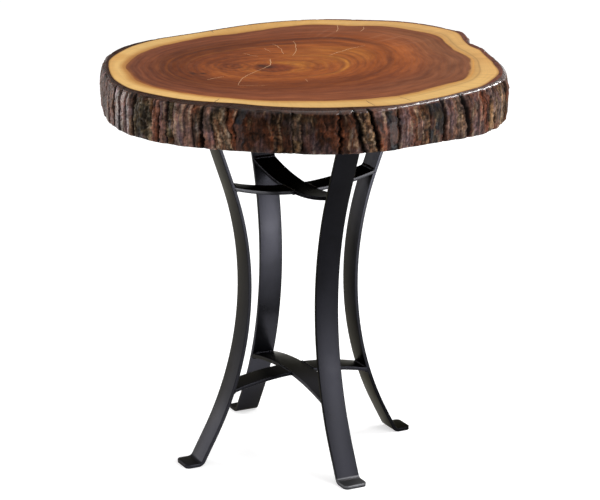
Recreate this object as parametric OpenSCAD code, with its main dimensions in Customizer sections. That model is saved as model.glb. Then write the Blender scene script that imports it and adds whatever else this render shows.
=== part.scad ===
// Round end table: a live-edge tree slice on a bent and welded flat-bar base.
// Z is up and the feet stand on z = 0. Legs point along +X, +Y, -X and -Y from the base's own axis.

/* [Tree slice] */
// Height of the table top above the floor
table_h = 642; // [500:1:760]
// Thickness of the slice
slab_t = 64; // [40:1:90]
// Mean radius of the slice, bark included
slab_r = 316; // [280:1:400]
// Thickness of the bark around the wood
bark_t = 13; // [11:0.5:20]
// Radius of the worn edge at the top of the bark
bark_edge_r = 4; // [1:0.5:7]
// How far the bark swells at half height
bark_swell = 3; // [0:0.5:6]
// Plates of bark around the edge
plate_count = 60; // [24:1:64]
// Depth of the furrows between the plates
furrow_depth = 6; // [2:0.5:9]
// How much one plate stands prouder than the next
plate_step = 1.2; // [0:0.1:2]
// How far a furrow leans sideways over the slice's thickness
furrow_lean = 12; // [0:1:20]
// Depth of the small chip out of the bark at the back right
chip_depth = 5; // [0:0.5:8]
// Direction of the chip
chip_at = 44; // [0:1:360]
// Depth of the step at the right, where a length of bark is torn off
tear_depth = 12.5; // [0:0.5:14]
// How far the torn end of the bark stands proud beside the step
flap_depth = 7.5; // [0:0.5:9]
// Direction of the step
tear_at = 2.5; // [0:0.5:360]

/* [Flat bar] */
// Width of the flat bar
bar_w = 40; // [30:1:50]
// Thickness of the flat bar
bar_t = 6; // [4:0.5:8]
// Inside radius of the tight bends at foot and tab
bend_r = 8; // [4:0.5:12]

/* [Legs] */
// Distance from the base's axis to the middle of the bar at the waist
waist_r = 96; // [80:1:120]
// Height of the waist
waist_z = 283; // [250:1:310]
// Radius of the long bend through the waist
leg_bend_r = 505; // [420:1:600]
// Angle from upright below the waist
foot_splay = 28; // [22:1:32]
// Angle from upright above the waist
top_splay = 20; // [16:1:26]
// Length of the foot pad from its bend line
foot_l = 28; // [26:1:45]
// Length of the mounting tab from its bend line
tab_l = 60; // [54:1:75]
// Corner radius of foot pads and tabs
pad_corner_r = 8; // [2:0.5:10]

/* [Crossbars] */
// Height of the upper cross at its lowest point, the middle
upper_cross_z = 436; // [400:1:450]
// Arch radius of the upper crossbars
upper_arch_r = 440; // [300:5:800]
// Height of the lower cross at its highest point, the middle
lower_cross_z = 134; // [115:1:180]
// Arch radius of the lower crossbars
lower_arch_r = 500; // [300:5:800]

/* [Welds and screws] */
// Size of the weld beads where the crossbars meet the legs
weld_r = 3.5; // [2:0.5:5]
// Half width of the weld beads along the seams of the crosses
seam_weld_r = 3; // [2:0.5:4]
// How far a seam bead stands above the bar
seam_weld_h = 1.2; // [0.5:0.1:1.8]
// Diameter of the wood screws
screw_d = 5; // [4:0.5:6]
// Length of the wood screws under the head
screw_l = 32; // [20:1:38]
// Diameter of the screw head
screw_head_d = 10.5; // [9:0.5:12]
// Height of the screw head
screw_head_h = 3.2; // [2.5:0.1:4]
// Distance between the two screws of a tab
screw_pitch = 24; // [14:1:26]
// Distance from the outer screw to the tab's end
screw_inset = 12; // [9:1:14]
// Play around a screw in its tab hole
tab_hole_gap = 0.5; // [0.2:0.1:1]
// Play around a screw in its pilot hole
pilot_gap = 0.1; // [0:0.05:0.2]

/* [Hidden] */
$fn = 96;

// Lobes of the slice's plan: waves around it, depth in mm, direction of a crest
lobes = [[1, 14, -65], [2, 24, 24], [3, 11.5, 38], [4, 7.5, 37], [5, 2.5, 32], [6, 5.5, 17]];

function lobe_sum(a, i = 0) =
    i == len(lobes) ? 0 : lobes[i][1] * cos(lobes[i][0] * (a - lobes[i][2])) + lobe_sum(a, i + 1);

// A dent in the outline that fades out on both sides of its direction
function turn_from(a, at) = (a - at + 540) % 360 - 180;
function dent(a, at, depth, half_angle) = depth * exp(-pow(turn_from(a, at) / half_angle, 2));
chip_half_angle = 7;
tear_half_angle = 4.5;
flap_half_angle = 3;
flap_at = tear_at + 11.5;

function plan_r(a) = slab_r + lobe_sum(a)
    - dent(a, chip_at, chip_depth, chip_half_angle)
    - dent(a, tear_at, tear_depth, tear_half_angle)
    + dent(a, flap_at, flap_depth, flap_half_angle);
function polar(r, a) = [r * cos(a), r * sin(a)];

// A plate runs from one furrow to the next. Its outline goes down into the furrow and back
// over a flat crown: place along the plate, then share of the furrow's depth.
plate_form = [[0, 1], [0.13, 0.3], [0.32, 0.02], [0.62, 0], [0.86, 0.25]];
form_n = len(plate_form);
column_count = plate_count * form_n;
plate_pitch = 360 / plate_count;

// Furrows are unevenly spaced, and each leans its own way
function furrow_at(i) = plate_pitch * (i + 0.3 * sin(111 * i));
function lean_at(i, h) = furrow_lean / slab_r * (180 / PI) * sin(47 * i) * (h / slab_t - 0.5);
function proud_at(i) = plate_step * sin(73 * i + 20);
function deep_at(i) = furrow_depth * (0.75 + 0.25 * sin(151 * i));

function column_angle(k, h) =
    let (i = floor(k / form_n), f = plate_form[k % form_n][0])
    (1 - f) * (furrow_at(i) + lean_at(i, h)) + f * (furrow_at(i + 1) + lean_at((i + 1) % plate_count, h));

function furrow_in(k) =
    let (i = floor(k / form_n), f = plate_form[k % form_n])
    f[1] * ((1 - f[0]) * deep_at(i) + f[0] * deep_at((i + 1) % plate_count)) - (1 - f[1]) * proud_at(i);

// Rows of the bark's wall from the underside to the top: height, then how far it lies inside the plan
wall_rows = 6;
wall_h = slab_t - bark_edge_r;
function swell_at(h) = bark_swell * (1 - pow(2 * h / slab_t - 1, 2));
row_data = [
    [0, 2.5],
    for (j = [1 : wall_rows]) let (h = wall_h * (j - 0.6) / (wall_rows - 0.6)) [h, -swell_at(h)],
    for (turn = [45, 90]) [wall_h + bark_edge_r * sin(turn), bark_edge_r * (1 - cos(turn)) - swell_at(slab_t)]
];
row_n = len(row_data);

// Furrows fade out where the worn top edge runs into the sanded face
function furrow_share(j) = j == row_n - 1 ? 0.35 : 1;

function bark_point(j, k) =
    let (h = row_data[j][0], a = column_angle(k, h))
    concat(polar(plan_r(a) - row_data[j][1] - furrow_share(j) * furrow_in(k), a), table_h - slab_t + h);

// The wood's edge follows the plan one bark thickness further in, on the same columns
wood_edge = [
    for (k = [0 : column_count - 1]) let (a = column_angle(k, slab_t / 2)) polar(plan_r(a) - bark_t, a)
];
bark_outside = [for (j = [0 : row_n - 1]) for (k = [0 : column_count - 1]) bark_point(j, k)];
bark_inside = [for (z = [table_h, table_h - slab_t]) for (p = wood_edge) [p[0], p[1], z]];

// Middle of the slice's box in plan, which the model's origin stands under
bark_x = [for (p = bark_outside) p[0]];
bark_y = [for (p = bark_outside) p[1]];
plan_middle = [(min(bark_x) + max(bark_x)) / 2, (min(bark_y) + max(bark_y)) / 2, 0];

// Bends, runs and ends of a leg, measured on the middle of the bar
bend_mid_r = bend_r + bar_t / 2;
tab_z = table_h - slab_t - bar_t / 2;
tab_rise = tab_z - waist_z;
foot_drop = waist_z - bar_t / 2;
leg_turns = [["right", 0], ["back", 90], ["left", 180], ["front", 270]];

// Distance from the waist line out to the bend line of a leg's half
function flare(splay, rise) =
    leg_bend_r * (1 - cos(splay)) + (rise - leg_bend_r * sin(splay)) * tan(splay);

// Angles from one to another in even steps no longer than a given one
function even_steps(from, to, longest) =
    let (n = ceil((to - from) / longest)) [for (i = [0 : n]) from + (to - from) * i / n];

// Middle line of half a leg, rising from the waist: x, z and the angle from upright.
// It is the long bend, a straight run, the tight bend and the flat end.
function long_bend(splay) =
    [for (a = even_steps(0, splay, 2)) [waist_r + leg_bend_r * (1 - cos(a)), leg_bend_r * sin(a), a]];
function tight_bend(splay, rise) =
    let (bend_x = waist_r + flare(splay, rise) + bend_mid_r * tan((90 - splay) / 2))
    [for (a = even_steps(splay, 90, 7)) [bend_x - bend_mid_r * cos(a), rise - bend_mid_r * (1 - sin(a)), a]];
function half_line(splay, rise, end_l) = concat(
    long_bend(splay),
    tight_bend(splay, rise),
    [[waist_r + flare(splay, rise) + end_l, rise, 90]]
);
function below_waist(line) = [for (i = [len(line) - 1 : -1 : 1]) [line[i][0], waist_z - line[i][1], -line[i][2]]];
function above_waist(line) = [for (p = line) [p[0], waist_z + p[1], p[2]]];
function beside(line, out) = [for (p = line) [p[0] + out * cos(p[2]), p[1] - out * sin(p[2])]];
function turned_back(list) = [for (i = [len(list) - 1 : -1 : 0]) list[i]];

leg_line = concat(
    below_waist(half_line(foot_splay, foot_drop, foot_l)),
    above_waist(half_line(top_splay, tab_rise, tab_l))
);
// The stretch that crossbars can meet: both long bends and the straight runs
run_line = concat(
    below_waist(concat(long_bend(foot_splay), [tight_bend(foot_splay, foot_drop)[0]])),
    above_waist(concat(long_bend(top_splay), [tight_bend(top_splay, tab_rise)[0]]))
);
foot_end_r = waist_r + flare(foot_splay, foot_drop) + foot_l;
tab_end_r = waist_r + flare(top_splay, tab_rise) + tab_l;
screw_places = [tab_end_r - screw_inset, tab_end_r - screw_inset - screw_pitch];

// Where two circles in the XZ plane meet, nearer to the base's axis
function circles_meet(c1, r1, c2, r2) =
    let (
        gap = c2 - c1,
        d = norm(gap),
        along = (r1 * r1 - r2 * r2 + d * d) / (2 * d),
        foot = c1 + along * gap / d,
        aside = sqrt(r1 * r1 - along * along) * [gap[1], -gap[0]] / d
    )
    (foot + aside)[0] < (foot - aside)[0] ? foot + aside : foot - aside;
leg_bend_centre = [waist_r + leg_bend_r, waist_z];
leg_face_r = leg_bend_r + bar_t / 2;

screw_tip_l = 6;
recess_w = 1.1;
recess_l = 5;
recess_depth = 1.8;
spare = 1;

// Puts the base's axis where the slice's box is centred on the origin
module placed() {
    translate(-plan_middle) children();
}

module at_legs() {
    for (turn = leg_turns) rotate([0, 0, turn[1]]) children();
}

// Part of a ring of flat bar standing in the XZ plane, from one angle to another
module bar_ring(mid_r, from_t, to_t, from_angle, to_angle, width) {
    rotate([90, 0, 0])
        rotate([0, 0, from_angle])
            rotate_extrude(angle = to_angle - from_angle, $fn = 240)
                translate([mid_r + from_t, -width / 2])
                    square([to_t - from_t, width]);
}

// A side outline in the XZ plane, given a width
module side_shape(outline, width) {
    translate([0, width / 2, 0]) rotate([90, 0, 0]) linear_extrude(width) polygon(outline);
}

// What is ground off the two corners of a flat end, above and below its middle line
module corner_waste(end_r, mid_z) {
    for (side = [-1, 1])
        translate([end_r - pad_corner_r, side * (bar_w / 2 - pad_corner_r), mid_z - bar_t])
            linear_extrude(2 * bar_t)
                difference() {
                    translate([0, side > 0 ? 0 : -2 * pad_corner_r]) square(2 * pad_corner_r);
                    circle(pad_corner_r);
                }
}

module leg(turn) {
    color("#1c1d1f")
        placed()
            rotate([0, 0, turn])
                difference() {
                    side_shape(
                        concat(beside(leg_line, -bar_t / 2), turned_back(beside(leg_line, bar_t / 2))),
                        bar_w
                    );
                    corner_waste(foot_end_r, bar_t / 2);
                    corner_waste(tab_end_r, tab_z);
                    for (x = screw_places)
                        translate([x, 0, tab_z - bar_t])
                            cylinder(d = screw_d + 2 * tab_hole_gap, h = 2 * bar_t);
                }
}

// Everything from the inner faces of the legs outward, to trim what is welded to them
module beyond_legs() {
    far = [[2 * leg_bend_r, table_h], [2 * leg_bend_r, 0]];
    at_legs() side_shape(concat(beside(run_line, -bar_t / 2), far), 2 * bar_w);
}

// A whole arched bar along X before its ends are trimmed. hang is 1 where the middle hangs
// lowest and -1 where it rises highest.
module arch(mid_z, arch_r, hang) {
    reach = asin((waist_r + bar_w) / arch_r);
    translate([0, 0, mid_z + hang * arch_r])
        bar_ring(arch_r, -bar_t / 2, bar_t / 2, -hang * 90 - reach, -hang * 90 + reach, bar_w);
}

module long_bar(mid_z, arch_r, hang) {
    difference() {
        rotate([0, 0, 90]) arch(mid_z, arch_r, hang);
        beyond_legs();
    }
}

// The bar across it, cut in two. Each half ends square against the long bar's edge.
module half_bar(mid_z, arch_r, hang, side) {
    difference() {
        arch(mid_z, arch_r, hang);
        beyond_legs();
        translate([side > 0 ? bar_w / 2 - 2 * leg_bend_r : -bar_w / 2, -bar_w, 0])
            cube([2 * leg_bend_r, 2 * bar_w, table_h]);
    }
}

module bars_and_legs(mid_z, arch_r, hang) {
    arch(mid_z, arch_r, hang);
    rotate([0, 0, 90]) arch(mid_z, arch_r, hang);
    beyond_legs();
}

// Low beads over and under the two seams of a cross, running just past its corners
module seam_beads(mid_z, arch_r, hang) {
    bead_l = bar_w + 2 * seam_weld_h;
    difference() {
        for (side = [-1, 1], face = [-1, 1])
            translate([side * bar_w / 2, 0, mid_z + face * (bar_t / 2 + seam_weld_h - seam_weld_r)])
                rotate([90, 0, 0]) cylinder(r = seam_weld_r, h = bead_l, center = true);
        bars_and_legs(mid_z, arch_r, hang);
    }
}

// Beads over and under each end of the crossbars, in the corner against the leg
module end_beads(mid_z, arch_r, hang) {
    arch_centre = [0, mid_z + hang * arch_r];
    difference() {
        at_legs()
            for (face = [-1, 1]) {
                corner = circles_meet(arch_centre, arch_r - hang * face * bar_t / 2,
                                      leg_bend_centre, leg_face_r);
                translate([corner[0], 0, corner[1]])
                    rotate([90, 0, 0]) cylinder(r = weld_r, h = bar_w - 2 * spare, center = true);
            }
        bars_and_legs(mid_z, arch_r, hang);
    }
}

// Profile of a wood screw pointing up: dished head below z = 0, shank and point above
module screw() {
    head_r = screw_head_d / 2;
    difference() {
        union() {
            intersection() {
                translate([0, 0, -screw_head_h]) cylinder(r = head_r, h = screw_head_h);
                translate([0, 0, 2 * head_r - screw_head_h]) sphere(r = 2 * head_r);
            }
            cylinder(d = screw_d, h = screw_l - screw_tip_l);
            translate([0, 0, screw_l - screw_tip_l]) cylinder(d1 = screw_d, d2 = 1, h = screw_tip_l);
        }
        for (turn = [0, 90])
            rotate([0, 0, turn])
                translate([-recess_l / 2, -recess_w / 2, -screw_head_h - spare])
                    cube([recess_l, recess_w, recess_depth + spare]);
    }
}

module at_screws() {
    at_legs() for (x = screw_places) translate([x, 0, tab_z - bar_t / 2]) children();
}

module wood_slab() {
    color("#a4602f")
        placed()
            difference() {
                translate([0, 0, table_h - slab_t]) linear_extrude(slab_t) polygon(wood_edge);
                at_screws() cylinder(d = screw_d + 2 * pilot_gap, h = screw_l + 2 * spare);
            }
}

// The bark: a closed band of rows and columns, outside wall upward, then down the wood's edge
module bark_rim() {
    band = concat(bark_outside, bark_inside);
    band_rows = row_n + 2;
    color("#4b3328")
        placed()
            polyhedron(
                points = band,
                faces = [
                    for (j = [0 : band_rows - 1], k = [0 : column_count - 1])
                        let (
                            up = (j + 1) % band_rows * column_count,
                            here = j * column_count,
                            next = (k + 1) % column_count
                        )
                        for (face = [[here + k, up + k, up + next], [here + k, up + next, here + next]]) face
                ]
            );
}

module leg_front() { leg(270); }
module leg_right() { leg(0); }
module leg_back() { leg(90); }
module leg_left() { leg(180); }

module upper_crossbar_long() {
    color("#1c1d1f") placed() long_bar(upper_cross_z, upper_arch_r, 1);
}

module upper_crossbar_left() {
    color("#1c1d1f") placed() half_bar(upper_cross_z, upper_arch_r, 1, -1);
}

module upper_crossbar_right() {
    color("#1c1d1f") placed() half_bar(upper_cross_z, upper_arch_r, 1, 1);
}

module lower_crossbar_long() {
    color("#1c1d1f") placed() long_bar(lower_cross_z, lower_arch_r, -1);
}

module lower_crossbar_left() {
    color("#1c1d1f") placed() half_bar(lower_cross_z, lower_arch_r, -1, -1);
}

module lower_crossbar_right() {
    color("#1c1d1f") placed() half_bar(lower_cross_z, lower_arch_r, -1, 1);
}

module upper_seam_welds() {
    color("#232427") placed() seam_beads(upper_cross_z, upper_arch_r, 1);
}

module lower_seam_welds() {
    color("#232427") placed() seam_beads(lower_cross_z, lower_arch_r, -1);
}

module upper_end_welds() {
    color("#232427") placed() end_beads(upper_cross_z, upper_arch_r, 1);
}

module lower_end_welds() {
    color("#232427") placed() end_beads(lower_cross_z, lower_arch_r, -1);
}

module mounting_screws() {
    color("#2a2a2c") placed() at_screws() screw();
}

wood_slab();
bark_rim();
leg_front();
leg_right();
leg_back();
leg_left();
upper_crossbar_long();
upper_crossbar_left();
upper_crossbar_right();
lower_crossbar_long();
lower_crossbar_left();
lower_crossbar_right();
upper_seam_welds();
lower_seam_welds();
upper_end_welds();
lower_end_welds();
mounting_screws();
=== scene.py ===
import math

import bpy
import numpy as np
from mathutils import Matrix, Vector


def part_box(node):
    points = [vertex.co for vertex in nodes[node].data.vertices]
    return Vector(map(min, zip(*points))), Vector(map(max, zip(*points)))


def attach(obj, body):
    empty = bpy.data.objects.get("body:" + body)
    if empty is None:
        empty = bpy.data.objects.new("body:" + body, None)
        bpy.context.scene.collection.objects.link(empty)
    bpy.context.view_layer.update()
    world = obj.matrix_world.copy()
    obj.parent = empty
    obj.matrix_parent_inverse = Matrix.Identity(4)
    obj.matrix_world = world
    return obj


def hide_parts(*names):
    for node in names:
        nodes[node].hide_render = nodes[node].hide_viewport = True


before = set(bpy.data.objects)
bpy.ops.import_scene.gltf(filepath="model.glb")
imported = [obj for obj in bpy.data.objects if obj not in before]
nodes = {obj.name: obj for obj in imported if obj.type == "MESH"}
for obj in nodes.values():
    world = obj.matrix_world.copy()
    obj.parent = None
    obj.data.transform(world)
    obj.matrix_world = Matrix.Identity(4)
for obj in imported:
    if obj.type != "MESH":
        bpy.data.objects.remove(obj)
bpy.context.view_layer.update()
print("frame loaded:", len(nodes), "nodes")

# The legs cross at the base's own axis, which every shape below is measured from, in mm
axisX = sum(corner[0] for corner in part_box("leg_front")) * 500
axisY = sum(corner[1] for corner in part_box("leg_right")) * 500

table = {
    "height": 642,
    "slabThick": 64,
    "slabRadius": 316,
    "coat": 0.1,                                              # how far the drawn wood lies inside its solid
    "lobes": [(1, 14, -65), (2, 24, 24), (3, 11.5, 38), (4, 7.5, 37), (5, 2.5, 32), (6, 5.5, 17)],
    "dents": [(44, 5, 7), (2.5, 12.5, 4.5), (14, -7.5, 3)],   # direction, depth, half angle
}

# The camera, fitted to the equal legs, the level crossbars and the feet in the photo
cameraSettings = {
    "place": (-1.8831, -3.5290, 1.5633),   # from the base's axis, in metres
    "turn": 28.083,                        # to the right of +Y, in degrees
    "yaw": -0.034,
    "pitch": 17.089,
    "roll": 0.973,
    "lens": 157.26,
    "sensor": 36,
    "clip": (0.05, 60),
}


def cameraAxes(view):
    # Forward from yaw and pitch, turned with the table; right level, then both rolled about forward
    yaw, pitch, roll = (math.radians(view[k]) for k in ("yaw", "pitch", "roll"))
    turn = Matrix.Rotation(-math.radians(view["turn"]), 3, "Z")
    level = math.cos(pitch)
    forward = turn @ Vector((-math.sin(yaw) * level, math.cos(yaw) * level, -math.sin(pitch)))
    right = turn @ Vector((math.cos(yaw), math.sin(yaw), 0))
    up = right.cross(forward)
    c, s = math.cos(roll), math.sin(roll)
    return c * right + s * up, -s * right + c * up, -forward


cam = bpy.data.objects.new("camera", bpy.data.cameras.new("camera"))
cam.data.lens, cam.data.sensor_width = cameraSettings["lens"], cameraSettings["sensor"]
cam.data.clip_start, cam.data.clip_end = cameraSettings["clip"]
spot = Vector(cameraSettings["place"]) + Vector((axisX, axisY, 0)) / 1000
cam.matrix_world = Matrix.Translation(spot) @ Matrix(cameraAxes(cameraSettings)).transposed().to_4x4()
bpy.context.scene.collection.objects.link(cam)
bpy.context.scene.camera = cam
bpy.context.scene.view_settings.view_transform = "Standard"
print("camera ready")


# Numbers and colours on grids


def smooth(low, high, x):
    # 0 below low, 1 above high, an S curve between
    t = np.clip((x - low) / (high - low), 0, 1)
    return t * t * (3 - 2 * t)


def bell(x, at, half):
    # 1 at a place, falling off on both sides to about a third at half away
    return np.exp(-((x - at) / half) ** 2)


def near(angles, at, half):
    # The same for directions in degrees, which close round the table
    return bell((angles - at + 540) % 360 - 180, 0, half)


def mix(a, b, share):
    # a where share is 0, b where it is 1
    return a + (b - a) * share


def tint(a, b, share):
    # The same for colours, whose red, green and blue are one axis more
    return a + (b - a) * np.asarray(share)[..., None]


def tone(code):
    # A written web colour as linear red, green and blue
    c = np.array([int(code[i:i + 2], 16) for i in (1, 3, 5)]) / 255
    return np.where(c <= 0.04045, c / 12.92, ((c + 0.055) / 1.055) ** 2.4)


def tinted(colour, *coats):
    # A colour with others laid over it, each a web colour and its share
    for code, share in coats:
        colour = tint(colour, tone(code), share)
    return colour


def patches(around, along, cells, rows, seed):
    # Value noise that closes round the table: random values on a lattice, eased between its points.
    # around is in turns, along in shares of the height.
    values = np.random.default_rng(seed).random((rows + 2, cells))
    x, y = (around % 1) * cells, np.clip(along, 0, 1) * rows
    i, j = np.floor(x).astype(int), np.floor(y).astype(int)
    right, up = smooth(0, 1, x - i), smooth(0, 1, y - j)
    i, k = i % cells, (i + 1) % cells
    return mix(mix(values[j, i], values[j, k], right), mix(values[j + 1, i], values[j + 1, k], right), up)


def layers(around, along, cells, rows, seed, count):
    # Layers of patches, each twice as fine as the last and half as strong, brought back to 0..1
    parts = [patches(around, along, cells * 2 ** n, rows * 2 ** n, seed + 97 * n) / 2 ** n for n in range(count)]
    return sum(parts) / (2 - 2 / 2 ** count)


def outline(points, angles, blur):
    # Value at each angle through (direction, value) pairs, softened over a few degrees
    fine, reach = np.arange(0, 360, 0.5), np.arange(-40, 41)
    value = np.interp(fine, *np.array(points, float).T, period=360)
    weights = bell(0.5 * reach, 0, blur)
    value = sum(w * np.roll(value, k) for w, k in zip(weights / weights.sum(), reach))
    return np.interp(angles, fine, value, period=360)


def planRadius(angles):
    # Outline of the slice: mean radius, plus waves round it, less the dents
    lobes = sum(d * np.cos(np.radians(n * (angles - at))) for n, d, at in table["lobes"])
    return table["slabRadius"] + lobes - sum(d * near(angles, at, half) for at, d, half in table["dents"])


def gridFaces(rows, columns, closeRows=False):
    # Four-cornered faces of a grid of points stored row by row, each row closed in a ring
    j, i = np.arange(rows if closeRows else rows - 1)[:, None], np.arange(columns)
    j2, i2 = (j + 1) % rows, (i + 1) % columns
    corners = [j * columns + i, j * columns + i2, j2 * columns + i2, j2 * columns + i]
    return np.stack(np.broadcast_arrays(*corners), -1).reshape(-1, 4)


def tube(points):
    # Rows of points round a closed section as one shape: points, the grid between rows, and two end faces
    n, m = points.shape[:2]
    ends = [list(range(m))[::-1], list(range((n - 1) * m, n * m))]
    return points.reshape(-1, 3), [gridFaces(n, m)], ends


def enclosedVolume(points, faces):
    # Sum of the signed wedges from the origin to each face, which is negative when faces point inwards
    total = 0.0
    for f in faces:
        p = points[np.atleast_2d(f)]
        for k in range(1, p.shape[1] - 1):
            total += np.einsum("ij,ij->", p[:, 0], np.cross(p[:, k], p[:, k + 1]))
    return total


def joined(parts):
    # Several closed shapes as one piece's points, grids and end faces, all of them facing outwards
    points, grids, caps, start = [], [], [], 0
    for p, g, c in parts:
        way = -1 if enclosedVolume(p, g + c) < 0 else 1
        points.append(p)
        grids += [k[:, ::way] + start for k in g]
        caps += [[v + start for v in k[::way]] for k in c]
        start += len(p)
    return np.vstack(points), grids, caps


def newObject(name, points, faces, material):
    # A smooth-shaded mesh from points in metres and lists of corners
    mesh = bpy.data.meshes.new(name)
    mesh.from_pydata(points.tolist(), [], faces)
    mesh.polygons.foreach_set("use_smooth", np.ones(len(faces), bool))
    mesh.materials.append(material)
    made = bpy.data.objects.new(name, mesh)
    bpy.context.scene.collection.objects.link(made)
    return made


def newPiece(name, shape, replaced, material, sharp, fields=None):
    # Points in mm from the base's axis become one mesh. Grids are arrays of faces and caps lists of
    # corners; fields are values, vectors or colours (named Tone) for each point.
    points, grids, caps = shape
    way = -1 if enclosedVolume(points, grids + caps) < 0 else 1
    faces = [f[::way] for g in grids for f in g.tolist()] + [c[::way] for c in caps]
    piece = newObject(name, (points + (axisX, axisY, 0)) / 1000, faces, material)
    kinds = {1: ("FLOAT", "value"), 3: ("FLOAT_VECTOR", "vector"), 4: ("FLOAT_COLOR", "color")}
    for key, data in (fields or {}).items():
        data = np.asarray(data, float).reshape(len(points), -1)
        if key.endswith("Tone"):
            data = np.column_stack([data, np.ones(len(points))])
        kind, part = kinds[data.shape[1]]
        piece.data.attributes.new(key, kind, "POINT").data.foreach_set(part, data.ravel())
    piece.data.set_sharp_from_angle(angle=math.radians(sharp))
    piece.data.update()
    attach(piece, "root")
    if replaced:
        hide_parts(*replaced)


# Building blocks of the materials


def newMaterial(name):
    # A new material with its tree and its own shader
    mat = bpy.data.materials.new(name)
    mat.use_nodes = True
    return mat, mat.node_tree, mat.node_tree.nodes["Principled BSDF"]


def feed(tree, node, inputs):
    # Each input is a number, a colour or another node's output
    for key, value in inputs.items():
        if isinstance(value, bpy.types.NodeSocket):
            tree.links.new(value, node.inputs[key])
        else:
            node.inputs[key].default_value = value


def addNode(tree, kind, inputs=None, **settings):
    # One node with its settings and its inputs
    node = tree.nodes.new(kind)
    for key, value in settings.items():
        setattr(node, key, value)
    feed(tree, node, inputs or {})
    return node


def blendColour(tree, share, a, b, kind="MIX"):
    # From colour a to colour b by a share, or b laid over a another way
    return addNode(tree, "ShaderNodeMix", {0: share, 6: a, 7: b}, data_type="RGBA", blend_type=kind).outputs[2]


def remap(tree, value, fromLow, fromHigh, toLow, toHigh, kind="LINEAR"):
    # One range of a value carried to another, held at its ends
    return addNode(tree, "ShaderNodeMapRange", {0: value, 1: fromLow, 2: fromHigh, 3: toLow, 4: toHigh},
                   interpolation_type=kind).outputs[0]


def sums(tree, operation, a, b):
    # Two numbers added, multiplied or otherwise worked together
    return addNode(tree, "ShaderNodeMath", {0: a, 1: b}, operation=operation).outputs[0]


def product(tree, first, *others):
    # All the values multiplied together
    for value in others:
        first = sums(tree, "MULTIPLY", first, value)
    return first


def combined(tree, red, green, blue):
    # Three numbers as a colour
    return addNode(tree, "ShaderNodeCombineColor", {0: red, 1: green, 2: blue}).outputs[0]


def opaque(code):
    # A written web colour as a socket takes it
    return (*tone(code), 1)


def attribute(tree, name, kind="Fac"):
    # A field that the piece's points carry
    return addNode(tree, "ShaderNodeAttribute", attribute_name=name).outputs[kind]


def objectPlace(tree):
    # Metres from the piece's own origin
    return addNode(tree, "ShaderNodeTexCoord").outputs["Object"]


def grainGroup():
    # Stretched noise for grain, streaks and skin: gives a mask from 0 to 1 and a bumped normal
    group = bpy.data.node_groups.new("stretchedGrain", "ShaderNodeTree")
    ways = {"INPUT": [("Vector", "Vector"), ("Stretch", "Vector"), ("Scale", "Float"), ("Detail", "Float"),
                      ("Bump", "Float"), ("Depth", "Float")],
            "OUTPUT": [("Mask", "Float"), ("Normal", "Vector")]}
    for way, sockets in ways.items():
        for name, kind in sockets:
            group.interface.new_socket(name, in_out=way, socket_type="NodeSocket" + kind)
    out, into = group.nodes.new("NodeGroupOutput"), group.nodes.new("NodeGroupInput").outputs
    stretched = addNode(group, "ShaderNodeVectorMath", {0: into["Vector"], 1: into["Stretch"]},
                        operation="MULTIPLY")
    noise = addNode(group, "ShaderNodeTexNoise", {"Vector": stretched.outputs[0], "Scale": into["Scale"],
                                                  "Detail": into["Detail"], "Roughness": 0.6})
    mask = remap(group, noise.outputs[0], 0.3, 0.7, 0.0, 1.0)
    bump = addNode(group, "ShaderNodeBump", {"Strength": into["Bump"], "Distance": into["Depth"], "Height": mask})
    feed(group, out, {"Mask": mask, "Normal": bump.outputs[0]})
    return group


stretchedGrain = grainGroup()


def addGrain(tree, vector, stretch, scale, detail=3, bump=0.2, depth=0.0002):
    # The shared group with its own values: gives its outputs, Mask and Normal
    inputs = {"Vector": vector, "Stretch": stretch, "Scale": scale, "Detail": detail, "Bump": bump, "Depth": depth}
    return addNode(tree, "ShaderNodeGroup", inputs, node_tree=stretchedGrain).outputs


def masked(tree, grain, low, high):
    # A grain's mask as a number between two values
    return remap(tree, grain["Mask"], 0, 1, low, high)


# The tree slice

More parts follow.
